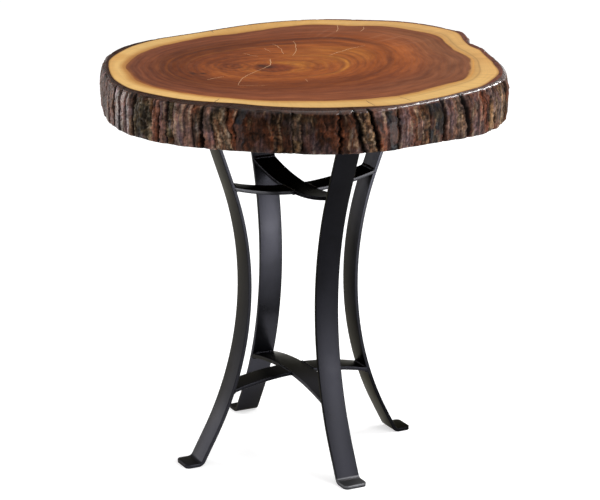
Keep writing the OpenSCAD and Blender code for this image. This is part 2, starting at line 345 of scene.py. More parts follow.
sliceShape = {
    "columns": 560,
    "topRows": 150,
    "underRows": 16,
    "firstRing": 0.006,                # ring number of the first points about the pith
    "pith": (-68, -13),                # where the rings start, from the base's axis
    "heartAt": 0.87,                   # ring number of the edge of the heartwood
    "leastBark": 8,                    # mm of bark outside the wood where it is thinnest
    # Growth rings near the middle: (direction, radius) about the pith
    "core": [(0, 32), (35, 24), (90, 18), (180, 18), (220, 24), (262, 34), (327, 40)],
    "inner": [(0, 134), (17, 125), (24, 100), (45, 80), (90, 70), (140, 82), (180, 85), (225, 80), (270, 80),
              (293, 87), (315, 110), (343, 127)],
    "middle": [(10, 241), (22, 246), (31, 250), (40, 238), (47, 211), (66, 177), (90, 155), (110, 150), (150, 150),
               (180, 150), (224, 135), (242, 125), (270, 130), (300, 150), (325, 176), (338, 191), (355, 212)],
    # Edge of the heartwood and of the whole wood, about the base's axis
    "heart": [(5, 276), (12, 295), (17, 304), (25, 301), (31, 305), (38, 298), (44, 279), (58, 275), (64, 262),
              (79, 232), (92, 220), (103, 226), (112, 228), (123, 235), (135, 248), (145, 257), (155, 267),
              (163, 277), (174, 280), (182, 289), (192, 291), (201, 283), (210, 279), (217, 270), (229, 268),
              (240, 258), (260, 258), (275, 260), (290, 254), (301, 257), (309, 268), (329, 264), (340, 269),
              (354, 262)],
    "wood": [(6, 315), (12, 338), (15, 347), (22, 349), (29, 349), (35, 344), (46, 322), (58, 313), (67, 302),
             (76, 286), (86, 272), (100, 264), (108, 266), (117, 269), (125, 276), (135, 285), (142, 289),
             (151, 297), (163, 306), (177, 315), (190, 324), (200, 318), (209, 313), (216, 303), (223, 294),
             (231, 297), (241, 298), (257, 299), (263, 303), (270, 306), (280, 301), (288, 302), (297, 303),
             (303, 309), (312, 308), (322, 310), (333, 299), (345, 304), (350, 304), (358, 299)],
    "ringKnots": [0, 0.09, 0.31, 0.55, 0.87, 1],
    "wobble": 0.028,                   # how far the grain strays from its rings, in ring numbers
    # Painted shade: the sawn face below is darkened to this share of the wood's colour
    "underside": 0.3,                  # brightness of the sawn face below
}


def woodEdge(angles):
    # Where the wood meets its bark: the drawn outline, kept inside the slice's own
    return np.minimum(outline(sliceShape["wood"], angles, 2.5), planRadius(angles) - sliceShape["leastBark"])


def aboutPith(radiusOf, directions):
    # The same closed line seen from the pith: its radius at each direction from there
    a = np.arange(0, 360, 0.25)
    x = radiusOf(a) * np.cos(np.radians(a)) - sliceShape["pith"][0]
    y = radiusOf(a) * np.sin(np.radians(a)) - sliceShape["pith"][1]
    seen = np.degrees(np.arctan2(y, x)) % 360
    order = np.argsort(seen)
    return np.interp(directions, seen[order], np.hypot(x, y)[order], period=360)


def ringRadius(ring, directions):
    # Radius about the pith of a ring number at a direction, led by the drawn rings between knots
    s, knots = sliceShape, sliceShape["ringKnots"]
    drawn = [0] + [outline(s[k], directions, blur) for k, blur in (("core", 12), ("inner", 8), ("middle", 6))]
    drawn += [aboutPith(f, directions) for f in (lambda a: outline(s["heart"], a, 3), woodEdge)]
    return sum((b - a) * np.clip((ring - low) / (high - low), 0, 1)
               for low, high, a, b in zip(knots, knots[1:], drawn, drawn[1:]))


heart = {
    "tones": ["#672f08", "#773812", "#944c1b", "#a76525"],   # from dark to gold
    "toneAt": [0, 0.3, 0.68, 1],
    # (ring number, brightness) all round, and what the right side adds to it
    "profile": [(0, 0.22), (0.07, 0.25), (0.1, 0.62), (0.13, 0.78), (0.2, 0.6), (0.27, 0.58), (0.32, 0.66),
                (0.38, 0.5), (0.43, 0.34), (0.5, 0.15), (0.6, 0.14), (0.68, 0.2), (0.76, 0.32), (0.83, 0.38)],
    "right": [(0, 0), (0.1, 0.24), (0.2, 0.16), (0.35, 0.18), (0.44, 0.58), (0.8, 0.42), (0.87, 0.3)],
    # Brightness added on one side: how much, direction, half angle, ring numbers where it starts and is full
    "sides": [(-0.22, 125, 45, 0.1, 0.2), (0.22, 125, 45, 0.3, 0.45), (-0.12, 120, 60, 0.4, 0.5),
              (0.14, 270, 60, 0.45, 0.55), (0.16, 225, 35, 0.76, 0.84)],
    # Drawn dark rings: ring number, half width, strength, direction where each shows most, its half angle
    "rings": [(0.088, 0.014, 0.7, 240, 90), (0.205, 0.012, 0.4, 120, 90), (0.298, 0.012, 0.45, 340, 60),
              (0.345, 0.016, 0.5, 100, 60), (0.40, 0.012, 0.4, 190, 70), (0.455, 0.018, 0.5, 180, 60),
              (0.49, 0.012, 0.5, 60, 50), (0.553, 0.02, 0.85, 40, 38), (0.55, 0.012, 0.75, 105, 50),
              (0.535, 0.024, 0.5, 340, 40), (0.56, 0.012, 0.7, 172, 40), (0.62, 0.016, 0.7, 168, 45),
              (0.66, 0.02, 0.4, 100, 60), (0.70, 0.012, 0.6, 190, 50), (0.72, 0.03, 0.35, 320, 50),
              (0.76, 0.012, 0.6, 185, 40), (0.80, 0.02, 0.4, 110, 60), (0.79, 0.016, 0.3, 350, 40),
              (0.665, 0.007, 0.6, 182, 40), (0.735, 0.006, 0.5, 200, 50), (0.82, 0.008, 0.5, 175, 50),
              (0.59, 0.006, 0.5, 185, 45), (0.50, 0.008, 0.5, 175, 40), (0.42, 0.007, 0.45, 165, 45)],
    "fineRings": 34,
    # Dark marks along the pith and at the left: place, half width and height, strength
    "marks": [(-71, -2, 8, 10, 0.85), (-64, -15, 11, 8, 0.92), (-191, -5, 5, 9, 0.8), (-177, -12, 6, 5, 0.9),
              (-185, -30, 4, 5, 0.4)],
    # Painted sheen: a pale tint added to the heartwood's colour for the light that the clear coat reflects
    "paintedSheen": (0.009, 0.0045, 0.003),   # pale light that the thick clear coat scatters
}


def ringLines(ring, turn, facing):
    # Strengths of the dark and the light lines: the drawn rings, then fine ones at random places, which
    # come and go round the slice. Each line is a bell about a ring number that wanders as it goes round.
    dark, light = np.zeros_like(ring), np.zeros_like(ring)
    for k, (at, width, strength, centre, half) in enumerate(heart["rings"]):
        wander = at + 0.016 * (patches(turn, 0.5, 9, 1, 600 + k) - 0.5)
        dark = np.maximum(dark, strength * near(facing, centre, half) * bell(ring, wander, width))
    rng = np.random.default_rng(23)
    for k in range(heart["fineRings"]):
        at, width, strength = rng.uniform(0.12, 0.85), rng.uniform(0.005, 0.010), rng.uniform(0.2, 0.6)
        wander = at + 0.02 * (patches(turn, 0.5, 6, 1, 300 + k) - 0.5)
        shown = smooth(0.45, 0.75, patches(turn, 0.5, 5, 1, 400 + k))
        which = light if k % 3 == 0 else dark
        np.maximum(which, strength * shown * bell(ring, wander, width), out=which)
    return dark, light


def heartTones(x, y, ring, turn):
    # Colours of the heartwood: a brightness profile along the rings, more on the right and less at
    # the back left, then dark and light rings, the swirl, the pith and the marks laid over it
    facing = turn * 360
    level = np.interp(ring, *zip(*heart["profile"]))
    level = level + near(facing, 10, 40) * np.interp(ring, *zip(*heart["right"]))
    for share, at, half, low, high in heart["sides"]:
        level = level + share * near(facing, at, half) * smooth(low, high, ring)
    level = level + 0.25 * (layers(turn, ring, 7, 5, 51, 3) - 0.5)
    tones = zip(*map(tone, heart["tones"]))
    colour = np.stack([np.interp(level, heart["toneAt"], values) for values in tones], -1)
    dark, light = ringLines(ring, turn, facing)
    rays = smooth(0.62, 0.85, layers(turn, ring, 260, 3, 88, 2)) * near(facing, 26, 16)
    swirl = 0.5 + 0.5 * np.cos(2 * np.pi * np.hypot(x + 114, 0.8 * (y - 14)) / 12.5)
    rim = smooth(0.835, 0.87, ring)
    # The painted sheen of the clear coat is added to every heartwood colour
    return heart["paintedSheen"] + tinted(
        colour,
        ("#87503a", 0.38 * smooth(0.52, 0.8, ring)),
        ("#4d220f", dark),
        ("#b3712f", 0.6 * light * smooth(0.7, 0.45, ring)),
        ("#b8762c", 0.6 * bell(ring, 0.315, 0.009) * near(facing, 335, 45)),
        # Swirl of small rings left of the pith, faint pale rays where the back right was cut across
        # the grain, and a reddish core
        ("#5a2810", 0.85 * bell(x, -116, 32) * bell(y, 14, 36) * swirl),
        ("#b98363", 0.45 * rays * smooth(0.5, 0.6, ring) * smooth(0.88, 0.8, ring)),
        ("#7c3516", 0.7 * bell(x, -48, 22) * bell(y, -20, 20)),
        *[("#2a120b", share * bell(x, atX, wide) * bell(y, atY, high))
          for atX, atY, wide, high, share in heart["marks"]],
        # The right and left ends turn greyish towards the sapwood, whose last millimetres are orange at the left
        ("#64432f", 0.55 * smooth(0.6, 0.82, ring) * near(facing, -14, 55)),
        ("#5d3626", 0.45 * smooth(0.74, 0.84, ring) * near(facing, 165, 40)),
        ("#a8662c", 0.7 * rim * near(facing, 195, 50)),
        ("#6b4028", 0.4 * rim * (1 - near(facing, 195, 60))),
    )


def sapTones(x, y, ring, turn):
    # Sapwood: deep gold beside the heartwood, pale gold outside, with a darker line under the bark
    atLeft, atRight = near(turn * 360, 158, 38), near(turn * 360, -14, 48)
    blotch = patches(turn, ring, 40, 14, 33)
    streaks = smooth(0.55, 0.8, layers(turn, ring, 210, 3, 35, 2))
    colour = tinted(
        tone("#d09a50"),
        ("#dfb470", smooth(0.87, 0.93, ring)),
        ("#c48c47", 0.5 * smooth(0.5, 0.9, patches(turn, ring, 26, 9, 31))),
        ("#c99a5e", 0.7 * smooth(140, 290, x)),
        # At the left the heartwood's brown fades into it
        ("#9a5f30", atLeft * (0.35 + 0.65 * blotch) * smooth(0.94, 0.872, ring)),
        # At the right an orange line edges the heartwood, then a greyish ring and cross streaks
        ("#b08a58", 0.6 * atRight * smooth(0.95, 0.90, ring) * (0.5 + 0.5 * blotch)),
        ("#9a7546", 0.7 * atRight * bell(ring, 0.912, 0.005)),
        ("#e2a752", 0.85 * atRight * bell(ring, 0.880, 0.006)),
        ("#b48a54", 0.35 * atRight * streaks),
    )
    # Painted light and shade: the sapwood is lightened towards the left and darkened a little towards the front
    colour = colour * (1 + 0.12 * smooth(-150, -290, x) - 0.06 * smooth(-180, -280, y))[..., None]
    return tinted(colour, ("#8a5a2c", 0.75 * smooth(0.988, 1.0, ring)))


def sliceMaterial():
    # Wood under a clear coat, with its rings and its two tones read from the piece's points
    mat, tree, shader = newMaterial("clearCoatedWood")
    rings = attribute(tree, "growth", "Vector")
    ring = addNode(tree, "ShaderNodeSeparateXYZ", {0: rings}).outputs[2]
    fine = addGrain(tree, rings, (3, 3, 110), 1.0, 3, 0.05, 0.0001)
    broad = addGrain(tree, rings, (1.6, 1.6, 20), 1.0, 3)
    wisps = addGrain(tree, rings, (5, 5, 42), 1.0, 4)
    rays = addGrain(tree, rings, (40, 40, 7), 1.0, 2)
    pores = addGrain(tree, objectPlace(tree), (1, 1, 1), 520, 2)
    # Heartwood: broad bands, wisps along the rings and fine ring lines; darker streaks are redder
    shade = product(tree, masked(tree, broad, 0.84, 1.16), masked(tree, wisps, 0.76, 1.24),
                    masked(tree, fine, 0.88, 1.12), masked(tree, pores, 0.96, 1.04))
    redder = combined(tree, shade, sums(tree, "POWER", shade, 1.25), sums(tree, "POWER", shade, 1.4))
    heartwood = blendColour(tree, 1.0, attribute(tree, "heartTone", "Color"), redder, "MULTIPLY")
    shade = product(tree, masked(tree, fine, 0.92, 1.05), masked(tree, rays, 0.93, 1.04))
    grey = combined(tree, shade, shade, shade)
    sapwood = blendColour(tree, 1.0, attribute(tree, "sapTone", "Color"), grey, "MULTIPLY")
    # The heartwood's edge wanders a little and has a thin deep-orange line
    wander = sums(tree, "ADD", ring, masked(tree, wisps, -0.006, 0.006))
    edge = sliceShape["heartAt"]
    sapShare, rising, falling = (
        remap(tree, wander, edge + low, edge + high, *ends, "SMOOTHSTEP")
        for low, high, ends in ((-0.006, 0.006, (0, 1)), (-0.004, 0.006, (0, 1)), (0.008, 0.03, (1, 0))))
    wood = blendColour(tree, sapShare, heartwood, sapwood)
    wood = blendColour(tree, product(tree, rising, falling, 0.45), wood, (0.42, 0.19, 0.06, 1))
    feed(tree, shader, {"Base Color": wood, "Roughness": masked(tree, fine, 0.42, 0.52), "Normal": fine["Normal"],
                        "Specular IOR Level": 0.04})
    return mat


def treeSlice():
    # A grid of rings and directions about the pith: over the top, down the edge and back under, with a
    # fan of triangles round the pith above and below, whose two points come last
    s, n = sliceShape, sliceShape["columns"]
    top, deep = table["height"] - table["coat"], table["slabThick"] - table["coat"]
    over, under = np.linspace(s["firstRing"], 1, s["topRows"]), np.linspace(1, s["firstRing"], s["underRows"])
    ring = np.concatenate([over, [1, 1], under])
    down = np.concatenate([0 * over, [0.33, 0.66], 0 * under + 1])
    t, r = (np.append(v, [0, 0]) for v in np.meshgrid(np.arange(n) / n, ring))
    radius, turn = ringRadius(r, t * 360), 2 * np.pi * t
    x, y = s["pith"][0] + radius * np.cos(turn), s["pith"][1] + radius * np.sin(turn)
    z = top - deep * np.append(np.repeat(down, n), [0, 1])
    i, count, last = np.arange(n), n * len(ring), n * (len(ring) - 1)
    j = (i + 1) % n
    fans = [np.stack([i, j, 0 * i + count], 1), np.stack([last + j, last + i, 0 * i + count + 1], 1)]
    wobble = s["wobble"] * (layers(t, r, 10, 5, 17, 3) - 0.5) * smooth(0, 0.2, r) * smooth(0.87, 0.7, r)
    growth = np.stack([np.cos(turn), np.sin(turn), r + wobble], -1) * (r > 0)[:, None]
    # Painted shade on the sawn face below, under the slab
    shade = np.where(z < top - 1, s["underside"], 1)[:, None]
    fields = {"heartTone": heartTones(x, y, r, t) * shade, "sapTone": sapTones(x, y, r, t) * shade,
              "growth": growth}
    shape = np.stack([x, y, z], -1), [gridFaces(len(ring), n)] + fans, []
    newPiece("wood_slice", shape, ["wood_slab"], sliceMaterial(), 40, fields)


treeSlice()
print("tree slice made")


# Fine cracks in the slice, filled under the coat, and open ones in its sapwood

cracks = {
    "proud": 0.06,   # how far each stands above the wood, in mm
    "deep": 0.4,
    "step": 2.5,     # along the line, from one row of corners to the next
    "wander": 1.3,
    "pale": [   # half width in mm, then places from the base's axis
        (1.0, [(-37, 35), (-45, 20), (-49, 9), (-57, -3), (-68, -11), (-76, -18), (-84, -24)]),
        (0.8, [(-84, -24), (-98, -33), (-113, -44), (-130, -59), (-144, -75), (-155, -90), (-163, -104)]),
        (0.45, [(-163, -104), (-156, -109), (-144, -114), (-125, -120)]),
        (0.6, [(15, 128), (14, 108), (10, 90), (4, 73), (-2, 57)]),
        (0.7, [(55, 134), (50, 118), (43, 100), (28, 70), (4, 39)]),
        (0.5, [(-11, 107), (-13, 94), (-14, 80)]),
        (0.5, [(-58, 89), (-54, 73), (-47, 57)]),
        (0.9, [(-190, -52), (-172, -46), (-156, -42)]),
        (0.6, [(-51, -108), (-55, -124)]),
        (0.7, [(181, 217), (170, 193), (154, 169)]),
        (0.7, [(213, 184), (204, 168), (190, 153)]),
        (0.8, [(60, 20), (88, 36), (116, 50), (146, 59)]),
    ],
    "dark": [
        (0.9, [(-30, 262), (-35, 243)]),
        (0.9, [(-241, -182), (-233, -174), (-225, -166)]),
        (0.9, [(-33, -265), (-35, -282), (-37, -300)]),
        (0.8, [(23, -263), (26, -278), (28, -292)]),
    ],
}


def crackBar(path, half, seed):
    # A flat bar sunk in the top along a wandering line, pointed at both ends: 4 corners a station
    path = np.array(path, float)
    run = np.append(0, np.cumsum(np.hypot(*np.diff(path, axis=0).T)))
    along = np.linspace(0, run[-1], max(8, int(run[-1] / cracks["step"])))
    middle = np.stack([np.interp(along, run, v) for v in path.T], -1)
    for _ in range(3):   # rounds the corners between the places
        middle[1:-1] = (middle[:-2] + 2 * middle[1:-1] + middle[2:]) / 4
    rng = np.random.default_rng(seed)
    step = np.gradient(middle, axis=0)
    aside = step[:, ::-1] * (-1, 1) / np.hypot(*step.T)[:, None]
    ease = np.sin(np.pi * np.linspace(0, 1, len(along)))
    wander = np.convolve(rng.normal(0, cracks["wander"], len(along) + 4), np.ones(5) / 5, "valid") * ease
    width = 0.62 * half * (0.25 + 0.75 * ease ** 0.5) * rng.uniform(0.6, 1.15, len(along)) + 0.02
    middle = middle + aside * wander[:, None]
    top = table["height"] - table["coat"]
    low, high = top - cracks["deep"], top + cracks["proud"]
    rows = [np.column_stack([middle + aside * (side * width)[:, None], np.full(len(along), z)])
            for side, z in ((-1, low), (1, low), (1, high), (-1, high))]
    return tube(np.stack(rows, 1))


def crackMaterial(name, colours, rough):
    # Two colours in fine blotches
    mat, tree, shader = newMaterial(name)
    grain = addGrain(tree, objectPlace(tree), (1, 1, 1), 260, 3, 0.1, 0.0001)
    colour = blendColour(tree, grain["Mask"], *map(opaque, colours))
    feed(tree, shader, {"Base Color": colour, "Roughness": rough, "Normal": grain["Normal"],
                        "Specular IOR Level": 0.25})
    return mat


def crackPiece(name, lines, seed, *look):
    # All the bars of a list, each with the next seed, as one piece
    shape = joined([crackBar(path, half, seed + k) for k, (half, path) in enumerate(lines)])
    newPiece(name, shape, [], crackMaterial(*look), 40)


crackPiece("filled_cracks", cracks["pale"], 3, "crackFill", ("#c08a5a", "#dcb184"), 0.35)
crackPiece("sapwood_cracks", cracks["dark"], 40, "openCrack", ("#3c2417", "#6b452a"), 0.6)
print("cracks made")


# The bark

bark = {
    "columns": 1320,
    "wallRows": 44,
    "edgeRadius": 4,
    "below": 0.15,                                    # how far its top lies below the solid's
    "overlap": 0.8,                                   # how far it reaches in past the wood's edge
    "leastSkin": 2.5,                                 # no furrow bares the wood
    "chamfer": 0.55,                                  # share that flattens the worn edge's round corner
    "worn": (1.2, 4.4),                               # how far down the edge is worn, behind and in front
    "swell": 3,
    "fuller": [(320, 3.5, 30), (160, 2, 26)],         # direction, extra swell, half angle
    "wider": [(339, 4.8, 14)],
    "hang": [(306, 8, 20), (338, 5, 14), (185, 2, 20), (236, -1.6, 18)],   # the same for its drop below the wood
    "band": "#3a2318",                                # the smooth sanded edge
    # Near-black for furrows and cracks: the bark's dark colour deepened by painted shade
    "grooveShade": "#0e0a08",
    # Painted light and shade: brightness of the bark in each direction, lighter at the left and darker at the front
    "level": [(150, 0.7), (190, 0.68), (198, 1.0), (224, 0.98), (232, 0.38), (246, 0.36), (256, 0.58), (264, 0.62),
              (276, 0.41), (296, 0.42), (310, 0.56), (330, 0.7)],
    "tones": {   # main colour, second colour, roughness of the face, streakiness, gloss of the coat
        "purple": ("#715756", "#7f6054", 0.45, 0.6, 0.2),
        "pinkGrey": ("#91685b", "#6a463b", 0.5, 0.9, 0.12),
        "lilac": ("#a98986", "#6d4e46", 0.3, 0.9, 0.3),
        "rust": ("#7c4f41", "#644741", 0.4, 0.8, 0.15),
        "redBrown": ("#5b3727", "#42291d", 0.3, 0.25, 0.12),
        "olive": ("#6b5d49", "#43382b", 1.0, 0.4, 0.05),
        "tan": ("#83694f", "#553f30", 1.0, 0.5, 0.12),
        "chunk": ("#6a5846", "#5a4233", 0.9, 0.85, 0.1),
        "blueBlack": ("#2a2c31", "#352f2f", 0.15, 0.3, 0.25),
        "brown": ("#4d382c", "#60463b", 0.6, 0.5, 0.1),
        "streaked": ("#6b5049", "#7a4a38", 0.5, 0.9, 0.12),
    },
    # Plates that the front shows: direction of the furrow that starts each at half height, how far its
    # lower end leans to the right in mm, its depth and width, and the plate's tone
    "plates": [
        (158, 0, 4, 3, "pinkGrey"), (165, 4, 3.5, 2.5, "rust"), (171, 5, 3, 2.5, "pinkGrey"),
        (176.5, 6, 4, 3, "rust"), (181, 7, 4, 2, "pinkGrey"), (184.8, 5, 6.5, 3, "lilac"),
        (188.6, 3, 6.5, 3, "lilac"), (191.8, 0, 5.5, 2, "lilac"), (194.9, -2, 6.5, 5, "olive"),
        (200.2, 0, 3, 2, "olive"), (201.7, -3, 4, 2.5, "pinkGrey"), (204.1, -4, 5.5, 3, "purple"),
        (206.4, -3, 5, 4, "olive"), (208.4, 2, 4, 3, "purple"), (213.8, 4, 4.5, 4, "brown"),
        (216.2, 0, 6.5, 4.5, "purple"), (219, 8, 3.5, 3, "chunk"), (223.5, 14, 5, 3, "redBrown"),
        (225.3, 2, 4, 2.5, "blueBlack"), (227.4, 0, 2.5, 2, "redBrown"), (231, -4, 2, 3, "redBrown"),
        (234.7, 4, 4.5, 4, "tan"), (237.1, 3, 3, 2.5, "redBrown"), (239.8, 0, 5, 3, "tan"),
        (242.3, 0, 4.5, 2.5, "redBrown"), (246.5, 3, 1.5, 2, "redBrown"), (252, 2, 6.5, 4, "redBrown"),
        (257.3, 20, 8, 5, "tan"), (261.6, 18, 8, 4, "streaked"), (265, 2, 2.5, 2, "blueBlack"),
        (268.5, 1, 6, 2.2, "purple"), (272.7, 2, 2.5, 2, "streaked"), (276.5, 0, 4, 2.5, "tan"),
        (279.2, 1, 3, 2, "blueBlack"), (285, 2, 7.6, 5, "purple"), (290.3, 3, 3, 2.5, "tan"),
        (294.2, 17, 8, 5, "streaked"), (297.3, 2, 2.5, 2, "purple"), (300.7, 1, 3, 2, "streaked"),
        (304.2, 2, 5.5, 3, "tan"), (307.6, 3, 6, 3, "brown"), (311.5, 3, 6.5, 3.5, "tan"),
        (315.5, 2, 7, 4, "redBrown"),
    ],
    "backTones": ["brown", "purple", "streaked", "tan", "rust", "olive", "redBrown", "pinkGrey"],
}


def barkPlates():
    # The drawn plates, then plates of uneven width round the back, in order of direction
    rng = np.random.default_rng(11)
    plates = list(bark["plates"])
    at = plates[-1][0] + 5
    while at < 360 + plates[0][0] - 3:
        sizes = [rng.uniform(*limits) for limits in ((-5, 5), (3.5, 8), (2.2, 4.5))]
        plates.append((at, *sizes, bark["backTones"][rng.integers(8)]))
        at += rng.uniform(3.4, 7)
    return sorted((p[0] % 360, *p[1:]) for p in plates)


def flakeCells(around, along, cells, rows, seed):
    # Nearest and second nearest of scattered points, one in each cell of a lattice that closes round
    # the table: random numbers of the nearest, how far its edge is, and the place across and up it
    rng = np.random.default_rng(seed)
    spots = rng.uniform(0.1, 0.9, (rows + 4, cells, 2))
    looks = rng.random((rows + 4, cells, 3))
    x, y = (around % 1) * cells, np.clip(along, 0, 1) * rows + 1
    i, j = np.floor(x).astype(int), np.floor(y).astype(int)
    best, second = np.full(x.shape, 9.0), np.full(x.shape, 9.0)
    look, across, up = np.zeros(x.shape + (3,)), np.zeros(x.shape), np.zeros(x.shape)
    for dj, di in np.ndindex(3, 3):
        column, row = i + di - 1, j + dj - 1
        cell = row, column % cells
        dx, dy = x - column - spots[cell][..., 0], y - row - spots[cell][..., 1]
        far = np.hypot(dx, dy)
        closer = far < best
        second = np.where(closer, best, np.minimum(second, far))
        best = np.where(closer, far, best)
        look = np.where(closer[..., None], looks[cell], look)
        across, up = np.where(closer, dx, across), np.where(closer, dy, up)
    return look, second - best, across, up


def barkSurface(angle, share):
    # Depth of the bark below its plates at a direction and a share of the height, and its colour.
    # Furrows lie between plates; each plate is broken into flakes that stand at different heights
    # and tilts with cracks between them, and streaks, mottles and grit are added to those.
    *sizes, names = zip(*barkPlates())
    starts, leans, depth, width = np.array(sizes, float)
    depth = depth * mix(0.7, 1, smooth(4.5, 6.5, depth))
    *codes, rough, streaky, gloss = (np.array(v) for v in zip(*(bark["tones"][name] for name in names)))
    main, second = (np.array([tone(code) for code in v]) for v in codes)
    turn, low = angle / 360, 0.5 - share
    mmPerDegree = np.pi / 180 * planRadius(angle)
    aside = 7 * (layers(turn, share, 46, 3, 3, 2) - 0.5) + 6 * (layers(turn, share, 180, 13, 4, 3) - 0.5)
    at = (angle + aside / mmPerDegree) % 360
    # Which furrow lies to each side, i and j, and how far off in mm
    past = (at - starts[:, None, None] - leans[:, None, None] * low / mmPerDegree) % 360
    i, j = past.argmin(0), past.argmax(0)
    toLeft, toRight = past.min(0) * mmPerDegree, (360 - past.max(0)) * mmPerDegree
    leanHere = mix(leans[i], leans[j], toLeft / (toLeft + toRight + 1e-6))
    flow = (at - leanHere * low / mmPerDegree) / 360      # runs along the streaks
    uneven = np.clip(1.7 * patches(turn, share, 120, 5, 8) - 0.05, 0.1, 1.15)
    uneven = mix(uneven, 0.6 + 0.5 * uneven, smooth(5.5, 7, np.maximum(depth[i], depth[j])))
    furrow = uneven * np.maximum(*(depth[k] * np.clip(1 - off / (1.2 * width[k]), 0, 1) ** 1.3
                                   for k, off in ((i, toLeft), (j, toRight))))
    inFurrow = smooth(0.8, 3.2, furrow)
    rug, streak = rough[i], streaky[i]
    # Flakes of two sizes, each at its own height and tilt, with cracks along their edges, which run
    # upright, and in rough plates crosswise too
    wave = 0.06 * (layers(turn, share, 90, 8, 12, 2) - 0.5)
    big, bigEdge, bigAcross, bigUp = flakeCells(flow, share + wave, 110, 2, 14)
    small, smallEdge, smallAcross, smallUp = flakeCells(flow, share - wave, 330, 5, 19)
    upright, smallUpright = (np.maximum(0.8 * smooth(0.5, 0.9, rug), smooth(0.15, 0.4, np.abs(v)))
                             for v in (bigAcross, smallAcross))
    cracked = smooth(0.13, 0.02, bigEdge) * upright * smooth(0.35, 0.7, patches(turn, share, 140, 5, 16))
    fineCrack = smooth(0.2, 0.03, smallEdge) * smallUpright * smooth(0.4, 0.65, patches(turn, share, 170, 6, 17))
    ledge = (0.5 + 0.8 * rug) * (1.5 * big[..., 0] + 2.2 * (big[..., 1] - 0.5) * bigAcross)
    ledge = ledge + (0.4 + 0.7 * rug) * (small[..., 0] + 1.6 * (small[..., 1] - 0.5) * smallAcross + 0.9 * smallUp)
    ledge = ledge + (0.3 + 0.7 * rug) * bigUp
    threads = layers(flow, share, 520, 2, 71, 2)
    mottle = layers(turn + wave / 8, share, 250, 9, 21, 3)
    grit = layers(turn, share, 480, 26, 47, 2)
    relief = (furrow + ledge + (0.6 + 1.4 * rug) * (1 - mottle) + (0.3 + 1.2 * streak) * (1 - threads)
              + (0.1 + 1.1 * rug) * (1 - grit) + 1.2 * cracked + 0.6 * fineCrack)
    relief = np.maximum(relief - 2.4, -1.2)
    # Colour: two tones in streaks or blotches, flakes that lean to rust, grey-violet or olive,
    # fine threads, a dark line along each crack and black furrows, partly the bark's own dark colour and partly
    # painted shade in these hollows
    patchy = mix(layers(turn, share, 130, 5, 72, 3), layers(flow, share, 200, 1, 73, 2), streak)
    hue, mossy = layers(flow, share, 90, 2, 74, 3), layers(flow, share, 110, 3, 76, 3)
    colour = tinted(
        tint(main[i], second[i], smooth(0.40, 0.60, patchy)),
        ("#80492f", 0.38 * smooth(0.56, 0.68, hue)),
        ("#6b5a60", 0.4 * smooth(0.42, 0.32, hue)),
        ("#564a38", 0.45 * smooth(0.58, 0.7, mossy)),
        ("#c2a98e", (0.15 + 0.45 * streak) * smooth(0.62, 0.8, threads)),
        ("#17110f", (0.3 + 0.6 * streak) * smooth(0.44, 0.3, threads)),
    )
    shade = (0.82 + 0.36 * big[..., 0]) * (0.8 + 0.4 * small[..., 0]) * (0.45 + 1.1 * mottle)
    # Grit adds speckle; the level list adds painted light and shade by direction
    shade = shade * np.maximum(1 + mix(0.4, 2.2, rug) * (grit - 0.5), 0.1) * outline(bark["level"], angle, 6)
    # Painted shade deepens the dark of the furrows and cracks
    dark = np.maximum(inFurrow, np.maximum(0.75 * cracked, 0.6 * fineCrack))
    colour = tinted(colour * shade[..., None] * (1.04, 0.99, 0.93), (bark["grooveShade"], 0.92 * dark))
    deep = np.where(toLeft < toRight, depth[i], depth[j])
    return relief, colour, inFurrow, deep, gloss[i] * (1 - inFurrow) * (1 - 0.7 * cracked)


